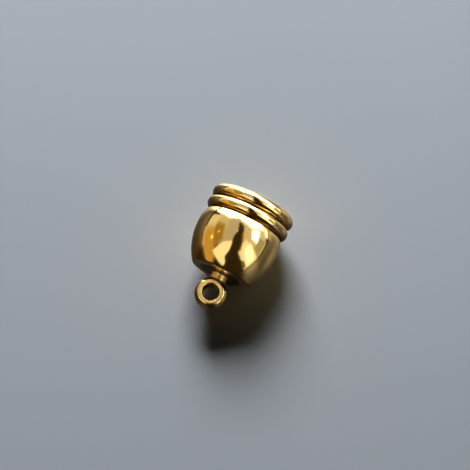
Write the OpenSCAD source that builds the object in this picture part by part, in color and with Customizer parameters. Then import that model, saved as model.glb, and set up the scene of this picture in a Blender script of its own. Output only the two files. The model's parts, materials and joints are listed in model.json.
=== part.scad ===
// Glue-in end cap for a round cord: a bell with two half-round ridges at its rim, a short neck and
// a loop. It is one casting, so it is one solid. It is drawn along its own axis, with the lip at
// height 0 and the loop above it, and then laid on its side on the surface z = 0, where its flank
// comes to rest, with its mouth towards +X.

/* [Rim] */
// Outer diameter over the two ridges
rim_d = 8.6; // [8.5:0.05:8.8]
// Thickness of each half-round ridge
ridge_t = 1.26; // [1.25:0.01:1.32]
// Distance between the middles of the two ridges
ridge_pitch = 1.22; // [1.18:0.01:1.24]

/* [Bell] */
// Largest diameter of the bell
bell_d = 8.58; // [8.5:0.02:8.7]
// Distance from the lip to the widest point of the bell
bell_peak = 4.25; // [4:0.05:4.5]
// Distance from the lip to the closed end
bell_l = 8.15; // [8:0.05:8.4]
// Radius of the outline between the widest point and the shoulder
flank_r = 6.5; // [6:0.1:7.5]
// Radius of the outline between the rim and the widest point
throat_r = 4; // [3.6:0.1:4.6]
// Radius of the shoulder at the closed end
shoulder_r = 0.4; // [0.3:0.05:0.8]

/* [Socket] */
// Diameter of the socket that the cord is glued into
socket_d = 6.4; // [6:0.1:6.8]
// Depth of the socket from the lip
socket_depth = 7; // [6:0.1:7.2]
// Radius between the socket's wall and its floor
socket_floor_r = 1.3; // [1.1:0.1:1.6]
// Rounding of the lip's inner edge
lip_round = 0.15; // [0.1:0.05:0.2]

/* [Neck and loop] */
// Diameter of the neck
neck_d = 1.7; // [1.4:0.1:1.9]
// Radius of the fillet where the neck leaves the closed end
neck_fillet = 0.2; // [0.1:0.05:0.3]
// Diameter of the ball that the loop is cut from
loop_d = 3.16; // [3:0.02:3.4]
// Width of the loop between its two flat faces
loop_w = 1.8; // [1.5:0.1:1.9]
// Diameter of the loop's hole
hole_d = 1.7; // [1.5:0.05:1.8]
// Rounding of the hole's two edges
hole_round = 0.1; // [0.05:0.01:0.15]
// Length of the whole cap
cap_l = 11.85; // [11.8:0.05:12.3]
// Turn of the whole cap about its axis, which leans the loop's hole away from upright
cap_turn = 6; // [0:1:15]

/* [Hidden] */
$fn = 96;
// Finer circles for the long arcs of the outline
arc_fn = 360;
// Overlap that lets the casting's shapes share volume
overlap = 0.4;

ridge_r = ridge_t / 2;
ridge_c = rim_d / 2 - ridge_r;
ridge_h = [ridge_r, ridge_r + ridge_pitch];
bell_r = bell_d / 2;
socket_r = socket_d / 2;
wall_top = socket_depth - socket_floor_r;
neck_r = neck_d / 2;
loop_r = loop_d / 2;
hole_r = hole_d / 2;
loop_h = cap_l - loop_r;

// Centres of the bell's three arcs, as [distance from the axis, height above the lip]
throat_c = [bell_r - throat_r, bell_peak];
flank_c = [bell_r - flank_r, bell_peak];
shoulder_h = bell_l - shoulder_r;
shoulder_c = [
    flank_c.x + sqrt(pow(flank_r - shoulder_r, 2) - pow(shoulder_h - bell_peak, 2)),
    shoulder_h
];
// Point where the flank runs into the shoulder
flank_end = flank_c + (shoulder_c - flank_c) * flank_r / (flank_r - shoulder_r);

// Distance from the axis, at height h, of an arc with centre c and radius r
function arc_at(c, r, h) = c.x + sqrt(max(0, r * r - pow(h - c.y, 2)));
function ridge_at(middle, h) =
    abs(h - middle) < ridge_r ? arc_at([ridge_c, middle], ridge_r, h) : 0;
function bell_at(h) =
    h < bell_peak ? arc_at(throat_c, throat_r, h)
    : h < flank_end.y ? arc_at(flank_c, flank_r, h)
    : h < bell_l ? arc_at(shoulder_c, shoulder_r, h)
    : neck_r;
function rim_at(h) =
    max(h < ridge_h[1] ? ridge_c : 0, ridge_at(ridge_h[0], h), ridge_at(ridge_h[1], h));
function outer_at(h) = h < ridge_h[1] ? rim_at(h) : max(bell_at(h), rim_at(h));
function socket_at(h) =
    h < wall_top ? socket_r
    : h < socket_depth ? arc_at([socket_r - socket_floor_r, wall_top], socket_floor_r, h)
    : 0;

// Height of the centre of mass, summed over thin slices up to the loop, and the loop itself
function total(list) = list * [for (i = list) 1];
slices = 240;
slice = (loop_h - loop_r) / slices;
slice_h = [for (i = [0:slices - 1]) (i + 0.5) * slice];
slice_v = [for (h = slice_h) PI * slice * (pow(outer_at(h), 2) - pow(socket_at(h), 2))];
loop_v = PI * loop_w * (pow(loop_r, 2) - pow(loop_w, 2) / 12 - pow(hole_r, 2));
mass_h = (slice_v * slice_h + loop_v * loop_h) / (total(slice_v) + loop_v);

// The cap rests on its flank, with its centre of mass right below the centre of the flank's arc
rest_tilt = atan((mass_h - bell_peak) / -flank_c.x);
lip_z = flank_r + flank_c.x * cos(rest_tilt) + bell_peak * sin(rest_tilt);

// Reach of the mouth and of the loop along X, which puts the origin in the middle of the two
mouth_x = ridge_c * sin(rest_tilt) + ridge_r * (1 - cos(rest_tilt));
loop_x = loop_h * cos(rest_tilt) + loop_r;
middle_x = (loop_x - mouth_x) / 2;

// Outline of the rim: a core with two half-round ridges
module rim_outline() {
    square([ridge_c, ridge_h[1]]);
    for (h = ridge_h) translate([ridge_c, h]) circle(r = ridge_r);
}

// Part of a disc that lies between two heights, on the outer side of the axis
module disc_between(c, r, low, high) {
    intersection() {
        translate(c) circle(r = r, $fn = arc_fn);
        translate([0, low]) square([rim_d, high - low]);
    }
}

// Outline of the bell: throat, flank, and a shoulder in place of the flank's sharp corner
module bell_outline() {
    disc_between(throat_c, throat_r, ridge_h[1], bell_peak);
    difference() {
        disc_between(flank_c, flank_r, bell_peak, bell_l);
        polygon([
            shoulder_c,
            [shoulder_c.x, bell_l + overlap],
            [flank_end.x + overlap, bell_l + overlap],
            [flank_end.x + overlap, flank_end.y],
            flank_end
        ]);
    }
    translate(shoulder_c) circle(r = shoulder_r);
}

// Outline of the neck, with a fillet at its root
module neck_outline() {
    translate([0, bell_l - overlap]) square([neck_r, loop_h - hole_r - bell_l]);
    difference() {
        translate([0, bell_l - overlap]) square([neck_r + neck_fillet, neck_fillet + overlap]);
        translate([neck_r + neck_fillet, bell_l + neck_fillet]) circle(r = neck_fillet);
    }
}

// Outline of the socket, with a rounded floor and a rounded lip
module socket_outline() {
    translate([0, -overlap]) square([socket_r, wall_top + overlap]);
    square([socket_r - socket_floor_r, socket_depth]);
    translate([socket_r - socket_floor_r, wall_top]) circle(r = socket_floor_r);
    difference() {
        translate([0, -overlap]) square([socket_r + lip_round, lip_round + overlap]);
        translate([socket_r + lip_round, lip_round]) circle(r = lip_round);
    }
}

module bell_and_neck() {
    difference() {
        rotate_extrude() {
            rim_outline();
            bell_outline();
            neck_outline();
        }
        rotate_extrude() socket_outline();
    }
}

// Half of the loop's section: a ball's outline between the two flat faces
module loop_outline() {
    intersection() {
        circle(r = loop_r, $fn = arc_fn);
        translate([0, -loop_w / 2]) square([loop_d, loop_w]);
    }
}

// Half of the hole's section, with its two rounded edges
module hole_outline() {
    translate([0, -loop_w]) square([hole_r, 2 * loop_w]);
    for (side = [-1, 1]) {
        difference() {
            translate([0, side * loop_w / 2 - hole_round]) square([hole_r + hole_round, 2 * hole_round]);
            translate([hole_r + hole_round, side * (loop_w / 2 - hole_round)]) circle(r = hole_round);
        }
    }
}

// Puts a shape that is turned about Z on the axis of the loop's hole
module at_loop() {
    translate([0, 0, loop_h]) rotate([0, 90, 0]) children();
}

module end_cap() {
    color([0.83, 0.62, 0.27])
        translate([middle_x, 0, lip_z])
            rotate([0, -90 - rest_tilt, 0])
                rotate([0, 0, -cap_turn])
                    difference() {
                        union() {
                            bell_and_neck();
                            at_loop() rotate_extrude() loop_outline();
                        }
                        at_loop() rotate_extrude() hole_outline();
                    }
}

end_cap();
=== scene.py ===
"""A glue-in end cap that lies on its side: the casting, its gold plating, and a stage to show it on.

The casting is turned as one outline about the cap's axis. The ball at its end is then pressed flat on
two sides and drilled, which makes the loop. Settings are written here in millimetres and degrees, and
kept in metres and radians.
"""
import json
import math
from typing import NamedTuple

import bmesh
import bpy
import numpy as np
from bpy.props import FloatProperty, FloatVectorProperty, IntProperty, PointerProperty
from bpy.types import Operator, Panel, PropertyGroup
from mathutils import Matrix, Vector, noise


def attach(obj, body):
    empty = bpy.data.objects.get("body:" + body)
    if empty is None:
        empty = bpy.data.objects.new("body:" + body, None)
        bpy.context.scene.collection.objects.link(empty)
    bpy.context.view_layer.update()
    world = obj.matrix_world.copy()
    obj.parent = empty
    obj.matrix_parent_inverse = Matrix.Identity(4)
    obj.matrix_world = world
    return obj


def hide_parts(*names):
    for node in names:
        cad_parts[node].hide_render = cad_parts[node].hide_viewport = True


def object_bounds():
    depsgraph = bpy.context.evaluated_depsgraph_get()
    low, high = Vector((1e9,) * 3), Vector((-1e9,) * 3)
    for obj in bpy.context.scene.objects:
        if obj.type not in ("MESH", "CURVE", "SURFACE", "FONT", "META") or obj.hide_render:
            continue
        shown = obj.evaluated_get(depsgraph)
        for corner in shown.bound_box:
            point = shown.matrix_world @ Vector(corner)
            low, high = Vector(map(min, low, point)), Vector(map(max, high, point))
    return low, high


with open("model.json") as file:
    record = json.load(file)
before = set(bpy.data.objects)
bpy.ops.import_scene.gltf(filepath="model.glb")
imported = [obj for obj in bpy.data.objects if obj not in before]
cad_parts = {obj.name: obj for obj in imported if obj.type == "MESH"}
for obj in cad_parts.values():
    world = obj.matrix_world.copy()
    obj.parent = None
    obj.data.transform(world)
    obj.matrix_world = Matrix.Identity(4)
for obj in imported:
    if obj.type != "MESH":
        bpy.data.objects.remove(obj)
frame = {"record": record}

bl_info = {
    "name": "Glue-in end cap",
    "version": (1, 0, 0),
    "blender": (4, 5, 0),
    "location": "3D View > Sidebar > End Cap",
    "description": "Bell-shaped metal end cap with a ridged rim and a loop, and a stage to show it on",
    "category": "Object",
}

MM = 0.001
CAD_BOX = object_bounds()
MOUNTS = {mount["name"]: mount for mount in frame["record"]["mounts"]}
SOCKET = MOUNTS["cord_socket"]
LOOP_HOLE = MOUNTS["loop_hole"]
SOCKET_LEEWAY = 0.05 * MM
DRILL_CLEARANCE = 0.003 * MM
SHARP_ANGLE = math.radians(40)
CORNER_PLACES = 8
NECK_PLACES = 6
PLATING_GRAIN = {"Spacing": 0.35 * MM, "Patch Spacing": 3 * MM}
PLATING_BUMP = 0.3
FLOOR_GRAIN = {"Spacing": 0.5 * MM, "Patch Spacing": 40 * MM}
FLOOR_GRAIN_DEPTH = 0.05 * MM
FLOOR_BUMP = 0.1
FLOOR_PATCH_TONE = 0.94
SENSOR_WIDTH = 36
CLIP_START = 10 * MM


def length(name, description, millimetres):
    """A length that a user may change, given by its default in millimetres."""
    return FloatProperty(
        name=name, description=description, default=millimetres * MM, min=0, unit="LENGTH", precision=5
    )


def angle(name, description, degrees):
    """An angle that a user may change, given by its default in degrees and kept in radians."""
    radians = math.radians(degrees)
    return FloatProperty(
        name=name, description=description, default=radians, subtype="ANGLE", unit="ROTATION"
    )


def share(name, description, default, top=1.0):
    """A plain number from 0 to top."""
    return FloatProperty(name=name, description=description, default=default, min=0, max=top)


def power(name, description, watts):
    """A light's power in watts."""
    return FloatProperty(name=name, description=description, default=watts, min=0, unit="POWER")


def colour(name, description, default):
    """A linear colour."""
    return FloatVectorProperty(
        name=name, description=description, default=default, size=3, min=0, max=1, subtype="COLOR"
    )


class CapSizes(PropertyGroup):
    """Sizes of the casting."""

    rim_d: length("Rim", "Outer diameter over the two ridges", 8.6)
    ridge_t: length("Ridge", "Thickness of each half-round ridge", 1.26)
    ridge_pitch: length("Ridge spacing", "Distance between the middles of the ridges", 1.22)
    groove_r: length("Groove", "Radius at the bottom of the grooves beside the ridges", 0.04)
    bell_d: length("Bell", "Largest diameter of the bell", 8.58)
    bell_peak: length("Widest point", "Distance from the lip to the widest point of the bell", 4.25)
    bell_l: length("Bell length", "Distance from the lip to the closed end", 8.15)
    throat_r: length("Throat radius", "Radius of the outline from the rim to the widest point", 4)
    flank_r: length("Flank radius", "Radius of the outline from the widest point to the shoulder", 6.5)
    shoulder_r: length("Shoulder radius", "Radius of the shoulder at the closed end", 0.4)
    socket_depth: length("Socket depth", "Depth of the socket from the lip", 7)
    socket_floor_r: length("Socket floor radius", "Radius between the socket's wall and floor", 1.3)
    lip_round: length("Lip rounding", "Rounding of the lip's inner edge", 0.15)
    neck_d: length("Neck", "Diameter of the neck", 1.7)
    neck_fillet: length("Neck fillet", "Radius at the root of the neck", 0.2)
    loop_fillet: length("Loop fillet", "Radius where the neck runs into the loop", 0.12)
    loop_d: length("Loop", "Outer diameter of the loop", 3.16)
    loop_w: length("Loop width", "Width of the loop between its flat faces", 1.8)
    loop_edge: length("Loop edge", "Reach of the softened edge around each flat face", 0.15)
    hole_round: length("Hole rounding", "Rounding of the hole's two edges", 0.1)
    hand_polish: length("Polishing wave", "Height of the shallow waves left by polishing", 0.006)
    polish_reach: length("Wave spacing", "Distance from one polishing wave to the next", 2.2)
    # Painted shade: the corner round the neck is painted darker; it also gets the satin roughness where
    # polishing is hard.
    corner_reach: length("Dark corner", "Width of the corner round the neck that polishing misses", 1.2)
    around: IntProperty(name="Facets", description="Facets around the cap", default=256, min=32, max=512)


class PlatingLook(PropertyGroup):
    """Look of the gold-coloured plating."""

    tint: colour("Plating", "Colour of the polished plating", (0.97, 0.74, 0.33))
    # Painted shade: the plating is painted darker in the grooves, at the bend into the loop and in the
    # corner round the neck.
    shade_tint: colour("Grooves", "Colour of the plating deep in the grooves", (0.18, 0.09, 0.025))
    crest_tint: colour("Crests", "Colour where handling has brightened the plating", (1.0, 0.8, 0.42))
    # Painted shade: the plating is painted darker inside the socket; its added roughness is the
    # unpolished finish.
    socket_shade_tint: colour("Socket", "Colour of the unpolished plating in the socket", (0.42, 0.31, 0.15))
    # Reach of the painted shade round the grooves, and of the paler colour round the crests.
    shade_and_crest_reach: length("Groove reach", "Distance from a groove's bottom that its tone reaches", 0.22)
    satin_reach: length("Satin reach", "Distance from the neck over which the polish fades", 0.5)
    satin: share("Satin", "Added roughness round the neck, where polishing is hard", 0.2)
    # Below the lip, the socket's painted shade and its roughness fade in over this distance.
    socket_fade: length("Socket fade", "Distance below the lip over which the polish ends", 0.6)
    roughness: share("Roughness", "Roughness of the clean plating", 0.05)
    socket_roughness: share("Socket roughness", "Added roughness inside the unpolished socket", 0.6)
    smudge: share("Smudges", "Added roughness where the plating was touched", 0.12)
    scratch_depth: length("Scratch depth", "Depth of the fine polishing scratches", 0.0006)


class StageLook(PropertyGroup):
    """Floor, camera, key light and room light."""

    azimuth: angle("Camera azimuth", "Turn of the camera round the cap", -64.11)
    elevation: angle("Camera elevation", "Angle of the camera above the floor", 65.96)
    distance: length("Camera distance", "Distance from the camera to the cap's lip", 400)
    view_width: length("View width", "Width of the view at the cap's lip", 46.4)
    lip_right: length("Lip right", "Distance of the lip right of the picture's middle", 2.024)
    lip_up: length("Lip up", "Distance of the lip above the picture's middle", 3.238)
    floor_size: length("Floor", "Width of the floor", 3000)
    floor_tint: colour("Floor tint", "Colour of the floor", (0.55, 0.59, 0.64))
    mirrored_tint: colour("Mirrored floor", "Colour of the floor in the metal", (0.12, 0.114, 0.112))
    mirrored_roughness: share("Mirrored roughness", "Roughness of the floor in the metal", 0.3)
    mirrored_satin: share("Mirrored satin", "How strongly the floor shines in the metal", 0.9)
    key_turn: angle("Key light turn", "Turn of the key light from straight away to the left", 3)
    key_rise: angle("Key light rise", "Angle of the key light above the floor", 38)
    key_width: length("Key light width", "Width of the square key light", 180)
    key_power: power("Key light power", "Power of the key light", 1.65)
    room_tint: colour("Room tint", "Colour of the light from all round", (1.0, 0.97, 0.92))
    room_level: share("Room light", "Strength of the light from all round", 0.02, 10)
    contrast_gamma: share("Picture gamma", "Below 1 gives the picture a stronger contrast", 0.8, 2)


# Outline and mesh of the casting


def arc(centre, start, end, steps):
    """Points from start to end the short way round centre, without start itself."""
    centre = Vector(centre)
    first = Vector(start) - centre
    last = Vector(end) - centre
    from_angle = math.atan2(first.y, first.x)
    turn = (math.atan2(last.y, last.x) - from_angle + math.pi) % (2 * math.pi) - math.pi
    return [
        centre + first.length * Vector((math.cos(a), math.sin(a)))
        for a in (from_angle + turn * step / steps for step in range(1, steps + 1))
    ]


def line(start, end, steps):
    """Points from start to end on a straight line, without start itself."""
    return [Vector(start).lerp(Vector(end), step / steps) for step in range(1, steps + 1)]


def toward(start, end, distance):
    """The point at a distance from start on the way to end."""
    return start + (end - start).normalized() * distance


def circles_meet(first, first_r, second, second_r):
    """The outer one of the two points where two circles in the outline meet."""
    across = second - first
    gap = across.length
    reach = (gap * gap + first_r * first_r - second_r * second_r) / (2 * gap)
    aside = math.sqrt(max(0, first_r * first_r - reach * reach))
    foot = first + across * reach / gap
    normal = Vector((across.y, -across.x)).normalized()
    return max((foot + normal * aside, foot - normal * aside), key=lambda point: point.x)


class Stretch(NamedTuple):
    """A part of an outline: a straight line to its end or, where it has a centre, an arc to it."""

    steps: int
    end: tuple
    centre: tuple = None


def drawn(start, stretches):
    """The points of an outline that runs from start along its stretches."""
    points = [Vector(start)]
    for stretch in stretches:
        if stretch.centre is None:
            points += line(points[-1], stretch.end, stretch.steps)
        else:
            points += arc(stretch.centre, points[-1], stretch.end, stretch.steps)
    return points


class Outline(NamedTuple):
    """Half of the cap's section, as (distance from the axis, height above the lip).

    The grooves are places in it round which the plating gets painted shade; the crests and the neck are
    places that have a finish of their own.
    """

    points: list
    grooves: list
    crests: list
    neck: list


def cap_outline(s, loop_h):
    """The outline from the middle of the socket's floor, round the lip, to the far end of the ball."""
    socket_r = SOCKET["dims"]["r_mm"] * MM
    floor_x = socket_r - s.socket_floor_r
    wall_top = s.socket_depth - s.socket_floor_r
    lip_x = socket_r + s.lip_round
    ridge_r = s.ridge_t / 2
    ridge_c = s.rim_d / 2 - ridge_r
    ridges = [Vector((ridge_c, ridge_r)), Vector((ridge_c, ridge_r + s.ridge_pitch))]
    widest = Vector((s.bell_d / 2, s.bell_peak))
    throat = widest - Vector((s.throat_r, 0))
    flank = widest - Vector((s.flank_r, 0))
    shoulder_h = s.bell_l - s.shoulder_r
    shoulder_x = flank.x + math.sqrt((s.flank_r - s.shoulder_r) ** 2 - (shoulder_h - s.bell_peak) ** 2)
    shoulder = Vector((shoulder_x, shoulder_h))
    flank_end = flank + (shoulder - flank) * s.flank_r / (s.flank_r - s.shoulder_r)
    neck_r = s.neck_d / 2
    neck_root = Vector((neck_r + s.neck_fillet, s.bell_l + s.neck_fillet))
    ball = Vector((0, loop_h))
    ball_r = s.loop_d / 2
    bend_x = neck_r + s.loop_fillet
    bend = Vector((bend_x, loop_h - math.sqrt((ball_r + s.loop_fillet) ** 2 - bend_x ** 2)))

    groove = circles_meet(ridges[0], ridge_r + s.groove_r, ridges[1], ridge_r + s.groove_r)
    throat_groove = circles_meet(ridges[1], ridge_r + s.groove_r, throat, s.throat_r + s.groove_r)

    points = drawn((0, s.socket_depth), (
        # Socket and lip
        Stretch(12, (floor_x, s.socket_depth)),
        Stretch(16, (socket_r, wall_top), (floor_x, wall_top)),
        Stretch(12, (socket_r, s.lip_round)),
        Stretch(6, (lip_x, 0), (lip_x, s.lip_round)),
        # Ridges and grooves
        Stretch(3, (ridge_c, 0)),
        Stretch(24, toward(ridges[0], groove, ridge_r), ridges[0]),
        Stretch(6, toward(groove, ridges[1], s.groove_r), groove),
        Stretch(22, toward(ridges[1], throat_groove, ridge_r), ridges[1]),
        Stretch(6, toward(throat_groove, throat, s.groove_r), throat_groove),
        # Bell
        Stretch(24, widest, throat),
        Stretch(44, flank_end, flank),
        Stretch(10, (shoulder.x, s.bell_l), shoulder),
        Stretch(10, (neck_root.x, s.bell_l)),
        # Neck and ball
        Stretch(8, (neck_r, neck_root.y), neck_root),
        Stretch(6, (neck_r, bend.y)),
        Stretch(6, toward(bend, ball, s.loop_fillet), bend),
        Stretch(90, (0, loop_h + ball_r), ball),
    ))

    # Places round which the plating gets painted shade: the two grooves, the bend into the loop and the
    # corner round the neck.
    grooves = [
        toward(groove, Vector((0, groove.y)), s.groove_r),
        toward(throat_groove, throat, s.groove_r),
        Vector((neck_r, bend.y)),
    ]
    corner = line((neck_r, s.bell_l), (neck_r + s.corner_reach, s.bell_l), CORNER_PLACES)
    grooves += corner
    crests = [ridge + Vector((ridge_r, 0)) for ridge in ridges]
    neck = corner + line((neck_r, s.bell_l), (neck_r, bend.y), NECK_PLACES)
    return Outline(points, grooves, crests, neck)


def turned_mesh(name, points, around):
    """A closed mesh turned about Z from an outline whose two ends lie on the axis."""
    turns = np.arange(around) * 2 * math.pi / around
    rings = np.array(points[1:-1])
    vertices = np.empty((len(rings), around, 3))
    vertices[:, :, 0] = rings[:, :1] * np.cos(turns)
    vertices[:, :, 1] = rings[:, :1] * np.sin(turns)
    vertices[:, :, 2] = rings[:, 1:]
    ends = [(0, 0, points[0][1]), (0, 0, points[-1][1])]
    first_end = len(rings) * around
    faces = []
    for i in range(around):
        j = (i + 1) % around
        faces.append((first_end, j, i))
        faces.append((first_end + 1, first_end - around + i, first_end - around + j))
        for ring in range(0, first_end - around, around):
            faces.append((ring + i, ring + j, ring + around + j, ring + around + i))
    mesh = bpy.data.meshes.new(name)
    mesh.from_pydata(np.vstack((vertices.reshape(-1, 3), ends)).tolist(), [], faces)
    return mesh


def coordinates(mesh):
    """The mesh's points as rows of an array."""
    found = np.empty(len(mesh.vertices) * 3)
    mesh.vertices.foreach_get("co", found)
    return found.reshape(-1, 3)


def set_coordinates(mesh, rows):
    """Puts the rows of an array back as the mesh's points."""
    mesh.vertices.foreach_set("co", rows.ravel())
    mesh.update()


def press_flat(mesh, low, half_width, edge):
    """Presses what lies above the height low flat at half_width on both sides of X.

    Within edge of the flat face, a parabola softens the way into it.
    """
    rows = coordinates(mesh)
    reach = np.abs(rows[:, 0])
    blend = np.clip(edge - np.abs(reach - half_width), 0, None) / edge
    pressed = np.minimum(reach, half_width) - blend * blend * edge / 4
    above = rows[:, 2] > low
    rows[above, 0] = (np.sign(rows[:, 0]) * pressed)[above]
    set_coordinates(mesh, rows)


def hole_cutter(s, loop_h):
    """A drill for the loop's hole that also rounds its two edges, turned about X."""
    hole_r = LOOP_HOLE["dims"]["r_mm"] * MM
    wide_r = hole_r + s.hole_round
    top = s.loop_w / 2 + DRILL_CLEARANCE
    far = s.loop_w
    points = drawn((0, -far), (
        Stretch(1, (wide_r, -far)),
        Stretch(1, (wide_r, -top)),
        Stretch(8, (hole_r, s.hole_round - top), (wide_r, s.hole_round - top)),
        Stretch(4, (hole_r, top - s.hole_round)),
        Stretch(8, (wide_r, top), (wide_r, top - s.hole_round)),
        Stretch(1, (wide_r, far)),
        Stretch(1, (0, far)),
    ))
    mesh = turned_mesh("loop_hole_drill", points, s.around // 2)
    mesh.transform(Matrix.Translation((0, 0, loop_h)) @ Matrix.Rotation(math.pi / 2, 4, "Y"))
    return mesh


def outward(mesh):
    """Turns every face of a closed mesh outwards."""
    edit = bmesh.new()
    edit.from_mesh(mesh)
    bmesh.ops.recalc_face_normals(edit, faces=edit.faces)
    edit.to_mesh(mesh)
    edit.free()


def drilled(blank, drill):
    """The blank's mesh less the drill's."""
    body = bpy.data.objects.new("casting_blank", blank)
    tool = bpy.data.objects.new("loop_hole_drill", drill)
    bpy.context.scene.collection.objects.link(body)
    bpy.context.scene.collection.objects.link(tool)
    cut = body.modifiers.new("hole", "BOOLEAN")
    cut.operation = "DIFFERENCE"
    cut.solver = "MANIFOLD"
    cut.object = tool
    bpy.context.view_layer.update()
    graph = bpy.context.evaluated_depsgraph_get()
    result = bpy.data.meshes.new_from_object(body.evaluated_get(graph))
    bpy.data.objects.remove(body)
    bpy.data.objects.remove(tool)
    bpy.data.meshes.remove(blank)
    bpy.data.meshes.remove(drill)
    return result


def polish_by_hand(mesh, height, spacing):
    """Lifts the surface in shallow waves, so that it mirrors as unevenly as a polished casting."""
    rows = coordinates(mesh)
    normals = np.empty(len(mesh.vertices) * 3)
    mesh.vertices.foreach_get("normal", normals)
    lift = np.array([noise.noise(Vector(row) / spacing) for row in rows])
    set_coordinates(mesh, rows + normals.reshape(-1, 3) * (lift * height)[:, None])


def mark_nearness(mesh, name, places, reach):
    """Stores on each point how near it is to places in the outline, from 1 there to 0 at reach."""
    rows = coordinates(mesh)
    section = np.stack((np.hypot(rows[:, 0], rows[:, 1]), rows[:, 2]), axis=1)
    gaps = np.array([np.linalg.norm(section - np.array(place), axis=1) for place in places])
    near = np.clip(1 - gaps.min(axis=0) / reach, 0, 1)
    eased = near * near * (3 - 2 * near)
    layer = mesh.attributes.new(name, "FLOAT", "POINT")
    layer.data.foreach_set("value", eased.astype(np.float32))


def mark_socket(mesh, depth, fade):
    """Stores on each point how far it lies inside the socket, from 0 at the lip to 1 from fade on."""
    rows = coordinates(mesh)
    within = np.hypot(rows[:, 0], rows[:, 1]) < SOCKET["dims"]["r_mm"] * MM + SOCKET_LEEWAY
    below = np.clip(rows[:, 2] / fade, 0, 1) * (rows[:, 2] < depth + SOCKET_LEEWAY)
    layer = mesh.attributes.new("socket", "FLOAT", "POINT")
    layer.data.foreach_set("value", (within * below).astype(np.float32))


def cap_placement(lip_round):
    """The matrix that lays a cap, drawn up Z from its lip with its hole along X, in its place."""
    mouth = Vector(SOCKET["axis"]).normalized()
    lip = Vector(SOCKET["pos_m"]) + mouth * (SOCKET["dims"]["length_mm"] * MM / 2 + lip_round)
    up = -mouth
    hole = Vector(LOOP_HOLE["axis"])
    hole = (hole - up * hole.dot(up)).normalized()
    return Matrix.Translation(lip) @ Matrix((hole, up.cross(hole), up)).transposed().to_4x4()


# Materials


def new_material(name):
    """An empty node material with its Principled shader and output joined."""
    material = bpy.data.materials.new(name)
    material.use_nodes = True
    nodes = material.node_tree.nodes
    nodes.clear()
    shader = nodes.new("ShaderNodeBsdfPrincipled")
    out = nodes.new("ShaderNodeOutputMaterial")
    material.node_tree.links.new(shader.outputs["BSDF"], out.inputs["Surface"])
    return material, shader


def node(tree, kind, **values):
    """A new node with the given settings; any other name is one of its inputs."""
    made = tree.nodes.new(kind)
    for key, value in values.items():
        if key in made.bl_rna.properties:
            setattr(made, key, value)
        else:
            made.inputs[key].default_value = value
    return made


def feed(tree, socket, value):
    """Joins a socket to what feeds it, or sets it where that is a number or a colour with alpha."""
    if isinstance(value, bpy.types.NodeSocket):
        tree.links.new(value, socket)
    else:
        socket.default_value = value


def math_node(tree, operation, first, second=0):
    """The output of a Math node; each input is a socket or a number."""
    made = node(tree, "ShaderNodeMath", operation=operation)
    feed(tree, made.inputs[0], first)
    feed(tree, made.inputs[1], second)
    return made.outputs["Value"]


def mix_colours(tree, factor, first, second):
    """The output of a colour Mix node; each input is a socket or a colour."""
    made = node(tree, "ShaderNodeMix", data_type="RGBA")
    sockets = {socket.identifier: socket for socket in (*made.inputs, *made.outputs)}
    tree.links.new(factor, sockets["Factor_Float"])
    for name, value in (("A_Color", first), ("B_Color", second)):
        feed(tree, sockets[name], value if isinstance(value, bpy.types.NodeSocket) else (*value, 1))
    return sockets["Result_Color"]


def surface_grain_group():
    """Node group: shallow unevenness and soft patches of a surface, both measured in lengths."""
    group = bpy.data.node_groups.get("surface_grain")
    if group:
        return group
    group = bpy.data.node_groups.new("surface_grain", "ShaderNodeTree")
    for name, default in (("Spacing", 0.001), ("Patch Spacing", 0.004), ("Detail", 3.0)):
        socket = group.interface.new_socket(name, in_out="INPUT", socket_type="NodeSocketFloat")
        socket.default_value = default
    group.interface.new_socket("Height", in_out="OUTPUT", socket_type="NodeSocketFloat")
    group.interface.new_socket("Patches", in_out="OUTPUT", socket_type="NodeSocketFloat")
    given = group.nodes.new("NodeGroupInput")
    out = group.nodes.new("NodeGroupOutput")
    place = group.nodes.new("ShaderNodeTexCoord")
    for spacing, target in (("Spacing", "Height"), ("Patch Spacing", "Patches")):
        texture = group.nodes.new("ShaderNodeTexNoise")
        group.links.new(place.outputs["Object"], texture.inputs["Vector"])
        group.links.new(math_node(group, "DIVIDE", 1.0, given.outputs[spacing]), texture.inputs["Scale"])
        group.links.new(given.outputs["Detail"], texture.inputs["Detail"])
        group.links.new(texture.outputs["Fac"], out.inputs[target])
    return group


def grain_node(tree, spacings):
    """The surface_grain group placed in a material with its own spacings."""
    grain = node(tree, "ShaderNodeGroup", node_tree=surface_grain_group())
    for name, spacing in spacings.items():
        grain.inputs[name].default_value = spacing
    return grain


def soft_edge_group():
    """Node group: 1 in the middle of a card, falling to 0 at its edges over a share of its width."""
    group = bpy.data.node_groups.get("soft_edge")
    if group:
        return group
    group = bpy.data.node_groups.new("soft_edge", "ShaderNodeTree")
    fade = group.interface.new_socket("Fade", in_out="INPUT", socket_type="NodeSocketFloat")
    fade.default_value = 0.1
    group.interface.new_socket("Mask", in_out="OUTPUT", socket_type="NodeSocketFloat")
    given = group.nodes.new("NodeGroupInput")
    out = group.nodes.new("NodeGroupOutput")
    place = group.nodes.new("ShaderNodeTexCoord")
    parts = group.nodes.new("ShaderNodeSeparateXYZ")
    group.links.new(place.outputs["UV"], parts.inputs["Vector"])
    sides = []
    for axis in ("X", "Y"):
        middle = math_node(group, "SUBTRACT", parts.outputs[axis], 0.5)
        inside = math_node(group, "SUBTRACT", 0.5, math_node(group, "ABSOLUTE", middle))
        ramp = node(group, "ShaderNodeMapRange", interpolation_type="SMOOTHSTEP")
        group.links.new(inside, ramp.inputs["Value"])
        group.links.new(given.outputs["Fade"], ramp.inputs["From Max"])
        sides.append(ramp.outputs["Result"])
    group.links.new(math_node(group, "MULTIPLY", sides[0], sides[1]), out.inputs["Mask"])
    return group


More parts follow.
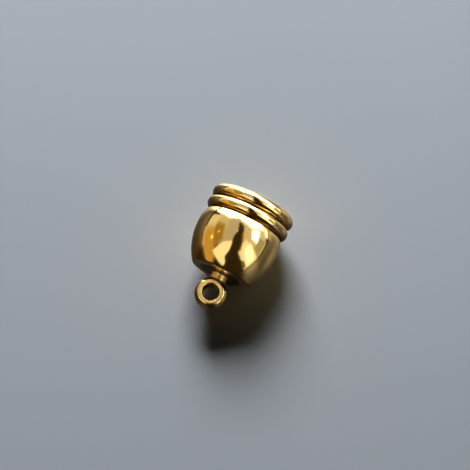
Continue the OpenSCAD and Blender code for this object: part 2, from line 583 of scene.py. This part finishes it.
def plating_material(look):
    """Polished gold-coloured plating: painted shade in the grooves and the socket, brighter on the
    crests, lightly handled.
    """
    material, shader = new_material("gold_plate")
    tree = material.node_tree
    grain = grain_node(tree, PLATING_GRAIN)
    painted_shade = node(tree, "ShaderNodeAttribute", attribute_name="painted_shade")
    crest = node(tree, "ShaderNodeAttribute", attribute_name="crest")
    socket = node(tree, "ShaderNodeAttribute", attribute_name="socket")
    satin = node(tree, "ShaderNodeAttribute", attribute_name="satin")
    worn = mix_colours(tree, crest.outputs["Fac"], look.tint, look.crest_tint)
    # Painted shade: darker colour round the grooves, the bend into the loop and the corner round the
    # neck.
    toned = mix_colours(tree, painted_shade.outputs["Fac"], worn, look.shade_tint)
    # Painted shade: darker colour inside the socket.
    tinted = mix_colours(tree, socket.outputs["Fac"], toned, look.socket_shade_tint)
    tree.links.new(tinted, shader.inputs["Base Color"])
    touched = math_node(tree, "MULTIPLY", grain.outputs["Patches"], look.smudge)
    unpolished = math_node(tree, "MULTIPLY", socket.outputs["Fac"], look.socket_roughness)
    satined = math_node(tree, "MULTIPLY", satin.outputs["Fac"], look.satin)
    dulled = math_node(tree, "ADD", math_node(tree, "ADD", touched, unpolished), satined)
    tree.links.new(math_node(tree, "ADD", dulled, look.roughness), shader.inputs["Roughness"])
    bump = node(tree, "ShaderNodeBump", Strength=PLATING_BUMP, Distance=look.scratch_depth)
    tree.links.new(grain.outputs["Height"], bump.inputs["Height"])
    tree.links.new(bump.outputs["Normal"], shader.inputs["Normal"])
    shader.inputs["Metallic"].default_value = 1
    return material


def floor_material(look):
    """Plain pale grey surface with the finest grain. The metal mirrors it as darker and more satin."""
    material, shader = new_material("floor_grey")
    tree = material.node_tree
    grain = grain_node(tree, FLOOR_GRAIN)
    darker = [value * FLOOR_PATCH_TONE for value in look.floor_tint]
    tint = mix_colours(tree, grain.outputs["Patches"], darker, look.floor_tint)
    path = node(tree, "ShaderNodeLightPath")
    in_metal = path.outputs["Is Glossy Ray"]
    tree.links.new(mix_colours(tree, in_metal, tint, look.mirrored_tint), shader.inputs["Base Color"])
    tree.links.new(math_node(tree, "MULTIPLY", in_metal, look.mirrored_satin), shader.inputs["Metallic"])
    bump = node(tree, "ShaderNodeBump", Strength=FLOOR_BUMP, Distance=FLOOR_GRAIN_DEPTH)
    tree.links.new(grain.outputs["Height"], bump.inputs["Height"])
    tree.links.new(bump.outputs["Normal"], shader.inputs["Normal"])
    shader.inputs["Roughness"].default_value = look.mirrored_roughness
    shader.inputs["Specular IOR Level"].default_value = 0
    return material


def card_material(card):
    """Glowing card whose light fades towards its edges."""
    material, shader = new_material(card.name)
    tree = material.node_tree
    edge = node(tree, "ShaderNodeGroup", node_tree=soft_edge_group())
    edge.inputs["Fade"].default_value = card.fade
    tree.links.new(edge.outputs["Mask"], shader.inputs["Alpha"])
    shader.inputs["Base Color"].default_value = (0, 0, 0, 1)
    shader.inputs["Specular IOR Level"].default_value = 0
    shader.inputs["Emission Color"].default_value = (*card.tint, 1)
    shader.inputs["Emission Strength"].default_value = card.level
    return material


# Stage


class Card(NamedTuple):
    """A card that the metal mirrors, given by its left and right edge in rows from one end to the other.

    Each place is a pair of angles in degrees as seen from the cap, (turn, rise): turn is 0 straight away
    from the camera and grows to the picture's left, and rise is the angle above the floor. The distance
    is in metres, and the light fades over the share fade of the card's width and of its height.
    """

    name: str
    rows: tuple
    distance: float
    tint: tuple
    level: float
    fade: float = 0.12


# What the metal mirrors: bright cards behind the cap and to its right, amber and brown ones to its left,
# edge lights on both sides, and a dark band that rises from the camera's side and passes overhead

WHITE = (1, 0.98, 0.95)
CREAM = (1, 0.93, 0.81)
PEACH = (1, 0.9, 0.78)
AMBER = (0.644, 0.435, 0.152)
BROWN = (0.43, 0.29, 0.08)
DARK_BROWN = (0.29, 0.17, 0.05)
OLIVE = (0.48, 0.46, 0.36)
PALE_OLIVE = (0.68, 0.66, 0.58)
COOL_WHITE = (0.93, 0.97, 1)
APRICOT = (1, 0.8, 0.55)
YELLOW = (1, 0.8, 0.2)
BLACK = (0.05, 0.034, 0.012)
CARDS = (
    Card("back_main", (((34, 2), (-24, 6)), ((24, 46), (-24, 52))), 0.34, WHITE, 14),
    Card("back_right", (((-18, 10), (-77, 12)), ((-16, 57), (-74, 50))), 0.36, WHITE, 5),
    Card("right_high", (((-76, 27), (-114, 27)), ((-79, 51), (-112, 47))), 0.35, WHITE, 4),
    Card("right_low", (((-64, 0), (-92, 0)), ((-64, 16), (-90, 13))), 0.38, CREAM, 2, 0.3),
    Card("left_cream", (((84, 0), (37, 3)), ((80, 28), (32, 31))), 0.41, CREAM, 0.85, 0.1),
    Card("left_foot", (((86, 0), (58, 0)), ((86, 4), (58, 4))), 0.38, CREAM, 0.8, 0.1),
    Card("left_low", (((134, -4), (82, -4)), ((128, 5), (84, 2))), 0.36, BLACK, 1, 0.1),
    Card("left_near", (((150, -12.5), (74, -12.5)), ((142, 6), (80, 3))), 0.02, BLACK, 1, 0.2),
    Card("left_amber", (((134, -6), (54, -4)), ((130, 32), (54, 30))), 0.40, AMBER, 1, 0.24),
    Card("left_brown", (((118, 16), (45, 20)), ((112, 60), (44, 58))), 0.42, BROWN, 1, 0.3),
    Card("glint_low", (((86, 24), (77, 24)), ((86, 32), (77, 32))), 0.37, YELLOW, 3, 0.5),
    Card("glint_high", (((78, 41), (71, 41)), ((78, 49), (71, 49))), 0.37, YELLOW, 2, 0.5),
    Card("left_edge", (((106, 27), (162, 22)), ((113, 58), (170, 75))), 0.33, WHITE, 1.1, 0.06),
    Card("right_edge", (((-124, 0), (-152, 0)), ((-121, 60), (-168, 56))), 0.34, WHITE, 1, 0.06),
    Card("right_brown", (((-146, 2), (-155, 2)), ((-148, 24), (-158, 26))), 0.285, BROWN, 0.5, 0.3),
    Card("right_glow", (((-128, 2), (-150, 2)), ((-114, 48), (-147, 52))), 0.32, WHITE, 1.7, 0.3),
    Card("right_top", (((-96, 58), (-140, 58)), ((-90, 78), (-142, 76))), 0.35, APRICOT, 0.8),
    Card("right_olive", (((-92, 6), (-126, 4)), ((-90, 28), (-124, 28))), 0.40, OLIVE, 1, 0.1),
    Card("right_foot", (((-88, 2), (-132, 0.5)), ((-88, 9), (-132, 6))), 0.37, CREAM, 0.7, 0.35),
    Card("left_back", (((104, 16), (26, 16)), ((104, 58), (26, 58))), 0.46, PALE_OLIVE, 1, 0.1),
    Card("right_pale", (((-77, 9), (-99, 7)), ((-77, 30), (-98, 29))), 0.39, COOL_WHITE, 0.75, 0.1),
    Card("right_back", (((-60, 4), (-130, 2)), ((-30, 64), (-130, 66))), 0.46, CREAM, 0.72, 0.1),
    Card("overhead", (((135, 32), (-135, 32)), ((45, 32), (-45, 32))), 0.50, WHITE, 0.57, 0.1),
    Card("loop_top", (((-90, 89.3), (-90, 86)), ((-13, 86.5), (-50, 84.7))), 0.28, PEACH, 1.1, 0.1),
    Card(
        "dark_band",
        (
            ((150, -2), (-152, -2)), ((152, 16), (-151, 12)), ((159, 31), (-152, 24)),
            ((156, 36), (-158, 31)), ((150, 42), (-163, 38)), ((158, 54), (-161, 50)),
            ((160, 63), (-152, 57)), ((153, 74), (-139, 64)), ((150, 81), (-122, 73)),
            ((153, 86.2), (-112, 72.5)), ((-90, 87), (-102, 72)), ((-47, 84.8), (-86, 71)),
            ((-32, 82.9), (-68, 69)), ((-27, 77), (-55, 66)), ((-18, 69.6), (-30, 63)),
            ((-14, 64.3), (-16, 62)),
        ),
        0.29, BLACK, 1, 0.05,
    ),
    Card(
        "brown_band",
        (
            ((-170, 48), (-155, 46)), ((-165, 59), (-146, 55)),
            ((-160, 68), (-133, 62)), ((-115, 78), (-100, 70)),
        ),
        0.30, DARK_BROWN, 1, 0.15,
    ),
)
CARD_STEPS = 14
ROW_STEPS = 4
KEY_DISTANCE = 360 * MM


def camera_axes(look):
    """Directions towards the camera, to the picture's right and to its top."""
    right = Vector((math.cos(look.azimuth), math.sin(look.azimuth), 0))
    level = Vector((right.y, -right.x, 0))
    back = level * math.cos(look.elevation) + Vector((0, 0, math.sin(look.elevation)))
    return back, right, back.cross(right)


def add_camera(look, lip):
    """The camera, aimed so that the lip lies where the picture has it."""
    back, right, up = camera_axes(look)
    data = bpy.data.cameras.new("camera")
    data.sensor_width = SENSOR_WIDTH
    data.lens = SENSOR_WIDTH * look.distance / look.view_width
    data.clip_start = CLIP_START
    camera = bpy.data.objects.new("camera", data)
    bpy.context.scene.collection.objects.link(camera)
    place = lip + back * look.distance - right * look.lip_right - up * look.lip_up
    camera.matrix_world = Matrix.Translation(place) @ Matrix((right, up, back)).transposed().to_4x4()
    bpy.context.scene.camera = camera


def staged(name, vertices, faces, places, material):
    """A staged mesh object in the scene, with a UV place for each point."""
    mesh = bpy.data.meshes.new(name)
    mesh.from_pydata(vertices, [], faces)
    layer = mesh.uv_layers.new(name="place")
    for loop in mesh.loops:
        layer.data[loop.index].uv = places[loop.vertex_index]
    mesh.materials.append(material)
    made = bpy.data.objects.new(name, mesh)
    bpy.context.scene.collection.objects.link(made)
    return made


def direction(away, turn, rise):
    """Unit direction for a turn and a rise in degrees, where away is the compass angle of turn 0."""
    turn = away + math.radians(turn)
    rise = math.radians(rise)
    return Vector((math.cos(turn) * math.cos(rise), math.sin(turn) * math.cos(rise), math.sin(rise)))


def add_card(card, away, middle):
    """One card, bent round the cap. Only the metal's reflections show it."""
    edges = [[direction(away, *place) for place in row] for row in card.rows]
    last = len(edges) - 1
    up_steps = max(CARD_STEPS, ROW_STEPS * last)
    vertices, places = [], []
    for up in range(up_steps + 1):
        rise = up / up_steps
        low = min(int(rise * last), last - 1)
        part = rise * last - low
        left, right = (edges[low][side].lerp(edges[low + 1][side], part) for side in (0, 1))
        for column in range(CARD_STEPS + 1):
            across = column / CARD_STEPS
            vertices.append(middle + left.lerp(right, across).normalized() * card.distance)
            places.append((across, rise))
    row = CARD_STEPS + 1
    faces = [
        (i, i + 1, i + 1 + row, i + row)
        for i in range(row * up_steps)
        if i % row < CARD_STEPS
    ]
    made = staged(card.name, vertices, faces, places, card_material(card))
    made.visible_camera = False
    made.visible_diffuse = False
    made.visible_shadow = False


def add_floor(look):
    """The floor, a plain square under the cap."""
    reach = look.floor_size / 2
    places = [(-1, -1), (1, -1), (1, 1), (-1, 1)]
    vertices = [(reach * x, reach * y, 0) for x, y in places]
    staged("floor", vertices, [(0, 1, 2, 3)], places, floor_material(look))


def add_key_light(look, away, middle):
    """A square soft light that lights the floor. What the metal mirrors in its place is a card."""
    data = bpy.data.lights.new("key_light", "AREA")
    data.size = look.key_width
    data.energy = look.key_power
    light = bpy.data.objects.new("key_light", data)
    bpy.context.scene.collection.objects.link(light)
    out = direction(away, math.degrees(look.key_turn), math.degrees(look.key_rise))
    light.location = middle + out * KEY_DISTANCE
    light.rotation_euler = out.to_track_quat("Z", "Y").to_euler()
    light.visible_glossy = False


def add_room_light(look):
    """Even light from all round."""
    world = bpy.data.worlds.new("room")
    world.use_nodes = True
    background = world.node_tree.nodes["Background"]
    background.inputs["Color"].default_value = (*look.room_tint, 1)
    background.inputs["Strength"].default_value = look.room_level
    bpy.context.scene.world = world


# Operators


class ENDCAP_OT_casting(Operator):
    """Build the whole casting: ridged rim, bell, socket, neck and loop"""

    bl_idname = "endcap.casting"
    bl_label = "Casting"

    def execute(self, context):
        sizes = context.scene.endcap_sizes
        look = context.scene.endcap_plating
        placement = cap_placement(sizes.lip_round)
        loop_h = (placement.inverted() @ Vector(LOOP_HOLE["pos_m"])).z
        outline = cap_outline(sizes, loop_h)
        blank = turned_mesh("casting_blank", outline.points, sizes.around)
        press_flat(blank, sizes.bell_l + sizes.neck_fillet, sizes.loop_w / 2, sizes.loop_edge)
        outward(blank)
        drill = hole_cutter(sizes, loop_h)
        outward(drill)
        mesh = drilled(blank, drill)
        mesh.name = "end_cap_casting"
        polish_by_hand(mesh, sizes.hand_polish, sizes.polish_reach)
        # Masks for the painted shade, the paler crests, the satin neck and the socket's painted shade
        # and roughness.
        mark_nearness(mesh, "painted_shade", outline.grooves, look.shade_and_crest_reach)
        mark_nearness(mesh, "crest", outline.crests, look.shade_and_crest_reach)
        mark_nearness(mesh, "satin", outline.neck, look.satin_reach)
        mark_socket(mesh, sizes.socket_depth, look.socket_fade)
        mesh.transform(placement)
        mesh.materials.clear()
        mesh.materials.append(plating_material(look))
        mesh.shade_smooth()
        mesh.set_sharp_from_angle(angle=SHARP_ANGLE)
        cap = bpy.data.objects.new("end_cap_casting", mesh)
        context.scene.collection.objects.link(cap)
        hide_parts("end_cap")
        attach(cap, "root")
        return {"FINISHED"}


class ENDCAP_OT_stage(Operator):
    """Lay out the floor, the cards that the metal mirrors, the two lights and the camera"""

    bl_idname = "endcap.stage"
    bl_label = "Stage"

    def execute(self, context):
        look = context.scene.endcap_stage
        low, high = CAD_BOX
        lip = cap_placement(context.scene.endcap_sizes.lip_round).translation
        back, _, _ = camera_axes(look)
        away = math.atan2(-back.y, -back.x)
        middle = (low + high) / 2
        add_floor(look)
        for card in CARDS:
            add_card(card, away, middle)
        add_key_light(look, away, middle)
        add_room_light(look)
        add_camera(look, lip)
        context.scene.view_settings.view_transform = "Standard"
        context.scene.view_settings.gamma = look.contrast_gamma
        return {"FINISHED"}


class ENDCAP_PT_panel(Panel):
    """Sizes and looks of the end cap, and the buttons that build it"""

    bl_idname = "ENDCAP_PT_panel"
    bl_label = "End Cap"
    bl_space_type = "VIEW_3D"
    bl_region_type = "UI"
    bl_category = "End Cap"

    def draw(self, context):
        groups = (
            (ENDCAP_OT_casting, (context.scene.endcap_sizes, context.scene.endcap_plating)),
            (ENDCAP_OT_stage, (context.scene.endcap_stage,)),
        )
        for operator, settings in groups:
            self.layout.operator(operator.bl_idname)
            for group in settings:
                for name in group.__annotations__:
                    self.layout.prop(group, name)


CLASSES = (CapSizes, PlatingLook, StageLook, ENDCAP_OT_casting, ENDCAP_OT_stage, ENDCAP_PT_panel)
SETTINGS = {"endcap_sizes": CapSizes, "endcap_plating": PlatingLook, "endcap_stage": StageLook}


def register():
    for entry in CLASSES:
        bpy.utils.register_class(entry)
    for name, group in SETTINGS.items():
        setattr(bpy.types.Scene, name, PointerProperty(type=group))


def unregister():
    for name in SETTINGS:
        delattr(bpy.types.Scene, name)
    for entry in reversed(CLASSES):
        bpy.utils.unregister_class(entry)


def main():
    register()
    bpy.ops.endcap.casting()
    bpy.ops.endcap.stage()


if __name__ == "__main__":
    main()
